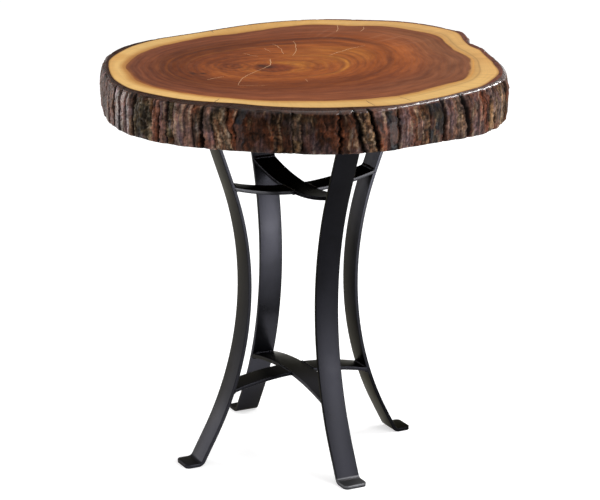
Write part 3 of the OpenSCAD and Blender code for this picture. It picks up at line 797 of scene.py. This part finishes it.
def barkRing():
    # A closed section carried round the slice: underside outward, up the wall, over the worn edge
    # and across the sanded top to the wood, then down behind it
    b, thick, radius = bark, table["slabThick"], bark["edgeRadius"]
    # Columns of each list: height, how far inside the outline, share of the relief, share of the way to the wood
    section = [(0, 1.4, 0.4, w) for w in (1, 0.75, 0.5, 0.25, 0.1, 0)]
    section += [(0.5, 0.6, 0.8, 0), (1.3, 0.2, 1, 0)]
    section += [(z, 0, 1, 0) for z in np.linspace(2.5, thick - radius, b["wallRows"])]
    # The worn edge is a round corner, flattened halfway to a chamfer
    bend = np.radians(np.linspace(12, 90, 8))
    section += [(thick - radius * mix(1 - math.sin(a), 1 - 2 * a / math.pi, b["chamfer"]),
                 radius * mix(1 - math.cos(a), 2 * a / math.pi, b["chamfer"]), 1, 0) for a in bend]
    section += [(thick, radius, 0.25, w) for w in (0.12, 0.3, 0.5, 0.7, 0.85, 1)]
    angle = np.arange(b["columns"]) * 360 / b["columns"]
    angle, h, inset, share, across = np.broadcast_arrays(angle, *np.array(section).T[..., None])
    outside, turn = across == 0, angle / 360

    def bumps(which):
        # The bells of one of the bark's lists, added up
        return sum(d * near(angle, at, half) for at, d, half in b[which])

    def between(low, high, from1, from2):
        # 1 between two directions, easing in over low..high and out over from1..from2
        return smooth(low, high, angle) * smooth(from2, from1, angle)

    relief, colour, inFurrow, depth, coated = barkSurface(angle, h / thick)
    # The worn edge fades the relief, except where a deep furrow runs right up through it and where the
    # bark is torn at the right
    wornFrom = thick - mix(*b["worn"], between(226, 252, 335, 345))
    worn = smooth(wornFrom - 0.8, wornFrom + 0.8, h) * (1 - 0.8 * smooth(5.5, 8, depth) * inFurrow)
    worn = worn * (1 - 0.75 * near(angle, 2, 22))
    relief = relief * share * (1 - 0.8 * worn)
    bulge = 1 - (2 * h / thick - 1) ** 2 * np.where(h < thick / 2, 0.45, 1)
    outer = planRadius(angle) + bumps("wider") - inset + (b["swell"] + bumps("fuller")) * bulge - relief
    ragged = smooth(5, 0, h) * 2.5 * layers(turn, 0, 160, 2, 81, 2)
    tapered = 4.5 * smooth(thick - 24, thick - 4, h) * between(205, 232, 295, 318)
    wood = woodEdge(angle) - b["overlap"]
    r = mix(np.maximum(outer - ragged * outside - tapered, wood + b["leastSkin"]), wood, across)
    # The few proudest points stay within the solid's own box
    low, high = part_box("bark_rim")
    x = np.clip(r * np.cos(np.radians(angle)), low[0] * 1000 - axisX, high[0] * 1000 - axisX)
    y = np.clip(r * np.sin(np.radians(angle)), low[1] * 1000 - axisY, high[1] * 1000 - axisY)
    drop = (bumps("hang") + 1.5 * (layers(turn, 0, 90, 2, 83, 2) - 0.3)) * smooth(0.5, 0, h / thick)
    sunk = 0.25 * across * (h > thick / 2)
    z = table["height"] - thick + h * (1 - b["below"] / thick) - sunk - drop * (1 - across)
    # The sanded edge is redder and lighter from the front right round to the back right
    redder = smooth(250, 285, angle) + smooth(75, 55, angle)
    band = tinted(tone(b["band"]), ("#643c30", redder))
    band = band * (0.45 + 1.15 * layers(turn, across, 110, 3, 91, 3))[..., None]
    sanded = np.maximum(worn, smooth(0.0, 0.1, across * (h > 30)))
    colour = tint(colour, band, sanded * (1 - 0.7 * inFurrow * outside))
    colour = np.where(((across > 0) & (h < 30))[..., None], band * 1.15, colour)
    # The coat is thick along the front edge and on the left's plates, thin elsewhere, none on the flat top
    pastLeft = (angle - 200) % 360
    glossy = smooth(22, 50, pastLeft) * smooth(168, 156, pastLeft)
    onEdge = smooth(thick - 5, thick - 3, h) * outside * (0.15 + 0.85 * glossy)
    coated = mix(coated * mix(1, 0.3, between(226, 236, 325, 345)), 1, onEdge) * outside
    # Painted sheen: a grey tint along the rounded worn edge from the front right round to the back right, where the
    # coat's gloss line shows
    colour = tinted(colour, ("#3a302d", 0.7 * onEdge * redder))
    fields = {"barkTone": colour, "barkRough": mix(0.4, 0.65, inFurrow), "barkCoat": coated}
    shape = np.stack([x, y, z], -1).reshape(-1, 3), [gridFaces(*h.shape, closeRows=True)], []
    newPiece("bark_skin", shape, ["bark_rim"], barkMaterial(), 75, fields)


def barkMaterial():
    # Bark under a clear coat, with its tone, roughness and coat read from the piece's points
    mat, tree, shader = newMaterial("coatedBark")
    place = objectPlace(tree)
    fibre = addGrain(tree, place, (1, 1, 0.16), 330, 4, 0.5, 0.0008)
    specks = addGrain(tree, place, (1, 1, 0.6), 700, 3)
    threads = addGrain(tree, place, (1, 1, 0.1), 210, 2)
    shade = product(tree, masked(tree, fibre, 0.5, 1.4), masked(tree, specks, 0.82, 1.15))
    # Fine threads lean to rust or to grey-violet
    rusty = combined(tree, product(tree, shade, masked(tree, threads, 0.84, 1.18)), shade,
                     product(tree, shade, masked(tree, threads, 1.22, 0.8)))
    colour = blendColour(tree, 1.0, attribute(tree, "barkTone", "Color"), rusty, "MULTIPLY")
    feed(tree, shader, {"Base Color": colour, "Roughness": attribute(tree, "barkRough"), "Normal": fibre["Normal"],
                        "Coat Weight": attribute(tree, "barkCoat"), "Coat Roughness": 0.12,
                        "Specular IOR Level": 0.02})
    return mat


barkRing()
print("bark made")


# The flat-bar base

base = {
    "width": 40,
    "thick": 6,
    "edge": 0.9,               # rounding of the rolled bar's long edges
    "bendRadius": 8,
    "waistRadius": 96,
    "waistHeight": 283,
    "legBend": 505,
    "footSplay": 28,
    "topSplay": 20,
    "foot": 28,
    "tab": 60,
    "padCorner": 8,
    "legs": {"front": 270, "right": 0, "back": 90, "left": 180},
    "crosses": {"upper": (436, 440, 1), "lower": (134, 500, -1)},   # height, arch radius, which way it hangs
    "into": 2,                 # how far a bar's end reaches into the leg it is welded to, hidden by the weld
    "endBead": 3.4,
    "seamBead": 2.8,
    "seamSink": 1.6,           # how far a seam's bead lies within the bar's faces
    "ripple": 2.6,             # length of one wave along a bead
    # Painted light and shade on the coating, lighter or darker by a share between two heights: darkest on the front
    # leg above its foot, lighter low on the left leg and high on the two that stand behind
    "legShading": {
        "front": [(-0.5, 20, 230)],
        "left": [(0.65, 115, 70), (0.12, 330, 270)],
        "back": [(0.2, 800, 700), (0.7, 450, 500), (0.5, 340, 280), (1.2, 240, 150), (-1.2, 110, 50),
                 (-0.6, 60, 30)],
        "right": [(0.6, 330, 450), (0.7, 500, 570), (-0.6, 135, 90)],
    },
    # Painted reflection: the lower long bar is made lighter towards the front leg
    "barLight": (2.5, 10, -90),   # the same along the lower long bar, towards the front leg
}


def barSection(halfWidth, halfThick, edge):
    # Outline of the bar's cross-section, corners rounded: across and through, for columns of sizes
    turn = np.radians(np.concatenate([q + np.linspace(0, 90, 5) for q in (0, 90, 180, 270)]))
    side = np.repeat([(1, 1), (-1, 1), (-1, -1), (1, -1)], 5, axis=0)
    across = side[:, 0] * (halfWidth - edge) + edge * np.cos(turn)
    return across, side[:, 1] * (halfThick - edge) + edge * np.sin(turn)


def turned(x, y, z, turn):
    # Points given by their place out, across and up, turned about the base's axis
    c, s = math.cos(math.radians(turn)), math.sin(math.radians(turn))
    return np.stack([x * c - y * s, x * s + y * c, z], -1)


def halfLegPath(splay, rise, end):
    # From the waist: the long bend, a straight run, the tight bend and the flat end; x, z and tilt
    b, s = base, math.radians(splay)
    tight = b["bendRadius"] + b["thick"] / 2
    out = b["waistRadius"] + b["legBend"] * (1 - math.cos(s)) + (rise - b["legBend"] * math.sin(s)) * math.tan(s)
    a, t, corner = (np.radians(np.linspace(*sweep)) for sweep in ((0, splay, 30), (splay, 90, 14), (0, 90, 10)))
    bend = [b["waistRadius"] + b["legBend"] * (1 - np.cos(a)), b["legBend"] * np.sin(a), a]
    middle = out + tight * math.tan((math.pi / 2 - s) / 2)
    tightBend = [middle - tight * np.cos(t), rise - tight * (1 - np.sin(t)), t]
    tip = out + end
    x = np.append((middle + tip - b["padCorner"]) / 2, tip - b["padCorner"] * (1 - np.sin(corner)))
    flat = [x, np.full(len(x), rise), np.full(len(x), math.pi / 2)]
    return np.hstack([bend, tightBend, flat]).T, tip


def legBar(turn):
    # The side line of the leg from foot to tab, with the bar's section carried along it
    b, thick = base, base["thick"]
    tabZ = table["height"] - table["slabThick"] - thick / 2
    low, footTip = halfLegPath(b["footSplay"], b["waistHeight"] - thick / 2, b["foot"])
    high, tabTip = halfLegPath(b["topSplay"], tabZ - b["waistHeight"], b["tab"])
    x, z, tilt = np.vstack([low[:0:-1] * (1, -1, -1), high]).T[..., None]
    tip = np.where(z < 0, footTip, tabTip)
    # Over the last millimetres the pad narrows round its corners, and the very end is rounded over
    onPad = np.abs(np.abs(tilt) - math.pi / 2) < 1e-6
    d = np.where(onPad, np.clip(tip - x, 0, b["padCorner"]), b["padCorner"])
    half = b["width"] / 2 - b["padCorner"] + np.sqrt(np.maximum(b["padCorner"] ** 2 - (b["padCorner"] - d) ** 2, 0))
    worn = np.clip(1 - d / b["edge"], 0, 1)
    inset = b["edge"] * (1 - np.sqrt(np.maximum(1 - worn ** 2, 0)))
    across, through = barSection(half - inset, thick / 2 - inset, b["edge"] * (1 - 0.5 * worn))
    up = b["waistHeight"] + z - through * np.sin(tilt)
    return tube(turned(x + through * np.cos(tilt), across, up, turn))


def innerFace(midZ, arch, hang, offset=0):
    # Where an arched bar's line meets the inner face of a leg: two circles in the side view, nearer point
    b = base
    c1, r1 = np.array([0, midZ + hang * arch]), arch - hang * offset
    c2, r2 = np.array([b["waistRadius"] + b["legBend"], b["waistHeight"]]), b["legBend"] + b["thick"] / 2
    gap = c2 - c1
    d = np.hypot(*gap)
    along = (r1 * r1 - r2 * r2 + d * d) / (2 * d)
    foot = c1 + along * gap / d
    aside = math.sqrt(r1 * r1 - along * along) * np.array([gap[1], -gap[0]]) / d
    return min(foot + aside, foot - aside, key=lambda p: p[0])


def archedBar(midZ, arch, hang, fromX, toX, turn):
    # The bar's section carried along part of a circle that stands in the side view
    a = np.arcsin(np.linspace(fromX, toX, 40) / arch)[:, None]
    across, through = barSection(base["width"] / 2, base["thick"] / 2, base["edge"])
    r = arch + through
    return tube(turned(r * np.sin(a), across, midZ + hang * (arch - r * np.cos(a)), turn))


def weldBead(start, end, radius, seed):
    # A round bead with ripples along it and rounded ends, from one point to another
    start, end = np.array(start, float), np.array(end, float)
    length = np.linalg.norm(end - start)
    ahead = (end - start) / length
    side = np.cross(ahead, (0, 0, 1))
    side /= np.linalg.norm(side)
    lift = np.cross(side, ahead)
    rng = np.random.default_rng(seed)
    along = np.linspace(0, length, int(length / 0.6))
    ripple = 0.86 + 0.14 * np.abs(np.sin(np.pi * (along / base["ripple"] + rng.uniform())))
    ripple = ripple * (1 + 0.08 * np.interp(along, np.linspace(0, length, 9), rng.normal(0, 1, 9)))
    fromEnd = np.clip(np.minimum(along, length - along) / radius, 0, 1)
    r = (radius * ripple * np.sqrt(np.clip(1 - (1 - fromEnd) ** 2, 0.02, 1)))[:, None]
    a = np.linspace(0, 2 * np.pi, 14, endpoint=False)
    sway = 0.14 * np.interp(along, np.linspace(0, length, 7), rng.normal(0, 1, 7))[:, None]
    return tube(start + along[:, None, None] * ahead + (r * np.cos(a))[..., None] * side
                + (r * np.sin(a) + sway)[..., None] * lift)


def steelMaterial(name, colours, rough, bump, slant=0.58):
    # Satin black powder coat: a fine orange-peel skin and slow changes of sheen, lighter or darker by the
    # share in a piece's painted light and shade value, and painted grey and dull as a highlight where its painted
    # highlight value is above 0
    mat, tree, shader = newMaterial(name)
    place = objectPlace(tree)
    peel = addGrain(tree, place, (1, 1, 1), 900, 2, bump, 0.0001)
    slow = addGrain(tree, place, (1, 1, 1), 22, 3)
    # Painted highlight where a piece carries it: grey and dull
    padHighlight = attribute(tree, "padHighlight")
    # Painted light and shade: the piece's share lightens or darkens the coat
    share = sums(tree, "ADD", attribute(tree, "paintedShading"), 1)
    colour = blendColour(tree, slow["Mask"], *map(opaque, colours))
    colour = blendColour(tree, 1.0, colour, combined(tree, share, share, share), "MULTIPLY")
    colour = blendColour(tree, padHighlight, colour, (0.16, 0.16, 0.17, 1))
    sheen = sums(tree, "ADD", masked(tree, slow, rough - 0.05, rough + 0.05), masked(tree, peel, -0.02, 0.02))
    feed(tree, shader, {"Base Color": colour, "Roughness": remap(tree, padHighlight, 0, 1, sheen, 0.55), "Metallic": 1,
                        "Normal": peel["Normal"],
                        "Specular Tint": (slant, 0.98 * slant, 0.91 * slant, 1)})   # less gloss at a slant
    return mat


coat = steelMaterial("blackPowderCoat", ("#1c1c1f", "#202024"), 0.33, 0.15)
# A copy of the coat for the upper bars with less gloss at a slant, as painted shade
shadedCoat = steelMaterial("shadedPowderCoat", ("#262628", "#2b2b2d"), 0.33, 0.15, 0.22)
weldCoat = steelMaterial("coatedWeld", ("#1a1a1d", "#242428"), 0.28, 0.4)
screwCoat = steelMaterial("blackScrew", ("#222226", "#38383c"), 0.32, 0.15)

for name, turn in base["legs"].items():
    shape = legBar(turn)
    z = shape[0][:, 2]
    # Painted highlight: the front foot's pad is painted a lighter grey and made dull on top, most of all along its
    # bend
    padHighlight = smooth(3.5, 5, z) * (name == "front") * np.maximum(0.75 * smooth(8, 6.2, z), bell(z, 8.3, 0.7))
    # Painted light and shade along each leg's height
    paintedShading = sum(share * smooth(low, high, z) for share, low, high in base["legShading"][name])
    newPiece(name + "_leg_bar", shape, ["leg_" + name], coat, 50, {"padHighlight": padHighlight, "paintedShading": paintedShading})
print("legs made")

for place, (midZ, arch, hang) in base["crosses"].items():
    reach = innerFace(midZ, arch, hang)[0] + base["into"]
    half, through = base["width"] / 2, base["thick"] / 2
    bars = ("long", -reach, reach, 90), ("left", -reach, -half, 0), ("right", half, reach, 0)
    for name, fromX, toX, turn in bars:
        shape = archedBar(midZ, arch, hang, fromX, toX, turn)
        # Painted shade: the upper bars take the shaded copy of the coat; painted reflection: the lower long bar is
        # lighter towards the front leg
        share, low, high = base["barLight"] if (place, name) == ("lower", "long") else (0, 0, 1)
        newPiece(f"{place}_{name}_bar", shape, [f"{place}_crossbar_{name}"],
                 shadedCoat if place == "upper" else coat, 50,
                 {"paintedShading": share * smooth(low, high, shape[0][:, 1])})
    beads, seams = [], []
    for k, turn in enumerate(base["legs"].values()):
        for face in (-1, 1):
            x, z = innerFace(midZ, arch, hang, face * through)
            ends = [turned(x, y, z, turn) for y in (-half + 1, half - 1)]
            beads.append(weldBead(*ends, base["endBead"], 100 + 10 * k + face))
    for side in (-1, 1):
        for face in (-1, 1):
            z = midZ + face * (through - base["seamSink"])
            ends = [(side * half, y, z) for y in (-half - 0.6, half + 0.6)]
            seams.append(weldBead(*ends, base["seamBead"], 200 + 3 * side + face))
    for kind, parts in (("end", beads), ("seam", seams)):
        newPiece(f"{place}_{kind}_beads", joined(parts), [f"{place}_{kind}_welds"], weldCoat, 60)
print("crosses and welds made")

for materialSlot in nodes["mounting_screws"].material_slots:
    materialSlot.link = "OBJECT"
    materialSlot.material = screwCoat
print("screws finished")


# The floor, the world and the lamps

studio = {
    "world": (0.17, 0.25, 0.85),   # how high the horizon's tone reaches, strength there and overhead
    "floorTone": 0.75,
    "floorReach": 27,              # metres of flat floor on every side
    "cove": 3.2,                   # radius of the curve that ends it
    "floorGlow": 0.55,             # seen by the camera and in reflections only
    # name, place and aim in metres, direction of the long side, length and width, power
    "lamps": [
        ("overhead", (0.1, 0.4, 3.2), (0, 0, 0.6), (1, 0, 0), (1.6, 1.4), 5),
        ("keyBox", (0.97, -1.86, 0.9), (0, 0, 0.5), (0, 0, 1), (1.6, 0.7), 26),
        ("lowBox", (0.80, -1.53, 0.2), (0, 0, 0.3), (0, 0, 1), (0.38, 0.7), 11),
        ("leftBox", (-1.22, 1.46, 0.66), (0, 0, 0.3), (0, 0, 1), (1.2, 0.8), 14),
        ("rightStrip", (1.67, -0.15, 1.85), (0.25, -0.1, 0.62), (0.41, 0.77, -0.5), (2.2, 0.15), 27),
    ],
}


def seenByEye(tree):
    # 1 for rays from the camera and for those mirrored or passed on by the object
    path = addNode(tree, "ShaderNodeLightPath").outputs
    either = sums(tree, "MAXIMUM", path["Is Camera Ray"], path["Is Glossy Ray"])
    return sums(tree, "MAXIMUM", either, path["Is Transmission Ray"])


def makeFloor():
    # A flat disc that curves up far away into a low wall, so that level views end on the same paper:
    # rings of points at a distance and a height, carried round, and one face across the middle
    cove, count = studio["cove"], 96
    bend = np.radians(np.linspace(0, 90, 9))
    far = np.append(1, studio["floorReach"] + cove * np.sin(bend))[:, None]
    high = np.append(0, cove * (1 - np.cos(bend)))[:, None]
    turn = 2 * np.pi * np.arange(count) / count
    points = np.stack(np.broadcast_arrays(far * np.cos(turn), far * np.sin(turn), high), -1)
    faces = gridFaces(len(far), count)[:, ::-1].tolist() + [list(range(count))]
    mat, tree, shader = newMaterial("floorPaper")
    glow = product(tree, seenByEye(tree), studio["floorGlow"])
    feed(tree, shader, {"Base Color": (*[studio["floorTone"]] * 3, 1), "Roughness": 0.9, "Specular IOR Level": 0,
                        "Emission Color": (1, 1, 1, 1), "Emission Strength": glow})
    floor = newObject("floor", points.reshape(-1, 3), faces, mat)


def makeWorld():
    # Pale everywhere, a little stronger overhead than at the horizon
    world = bpy.data.worlds.new("studio")
    bpy.context.scene.world = world
    world.use_nodes = True
    tree = world.node_tree
    direction = addNode(tree, "ShaderNodeTexCoord").outputs["Generated"]
    height = addNode(tree, "ShaderNodeSeparateXYZ", {0: direction}).outputs[2]
    low, horizon, overhead = studio["world"]
    strength = remap(tree, height, low, 1, horizon, overhead)
    feed(tree, tree.nodes["Background"], {"Color": (1, 1, 1, 1), "Strength": strength})


def makeLamp(name, place, aim, along, size, power):
    # An area lamp at a place, facing its aim, its long side along a direction
    lamp = bpy.data.lights.new(name, "AREA")
    lamp.shape = "RECTANGLE"
    lamp.size, lamp.size_y = size
    lamp.energy = power
    obj = bpy.data.objects.new(name, lamp)
    back = (Vector(place) - Vector(aim)).normalized()
    side = (Vector(along) - Vector(along).dot(back) * back).normalized()
    turn = Matrix((side, back.cross(side), back)).transposed().to_4x4()
    obj.matrix_world = Matrix.Translation(place) @ turn
    obj.visible_camera = False   # a view from behind the lamp sees past it
    bpy.context.scene.collection.objects.link(obj)


makeFloor()
makeWorld()
for settings in studio["lamps"]:
    makeLamp(*settings)
print("studio made")
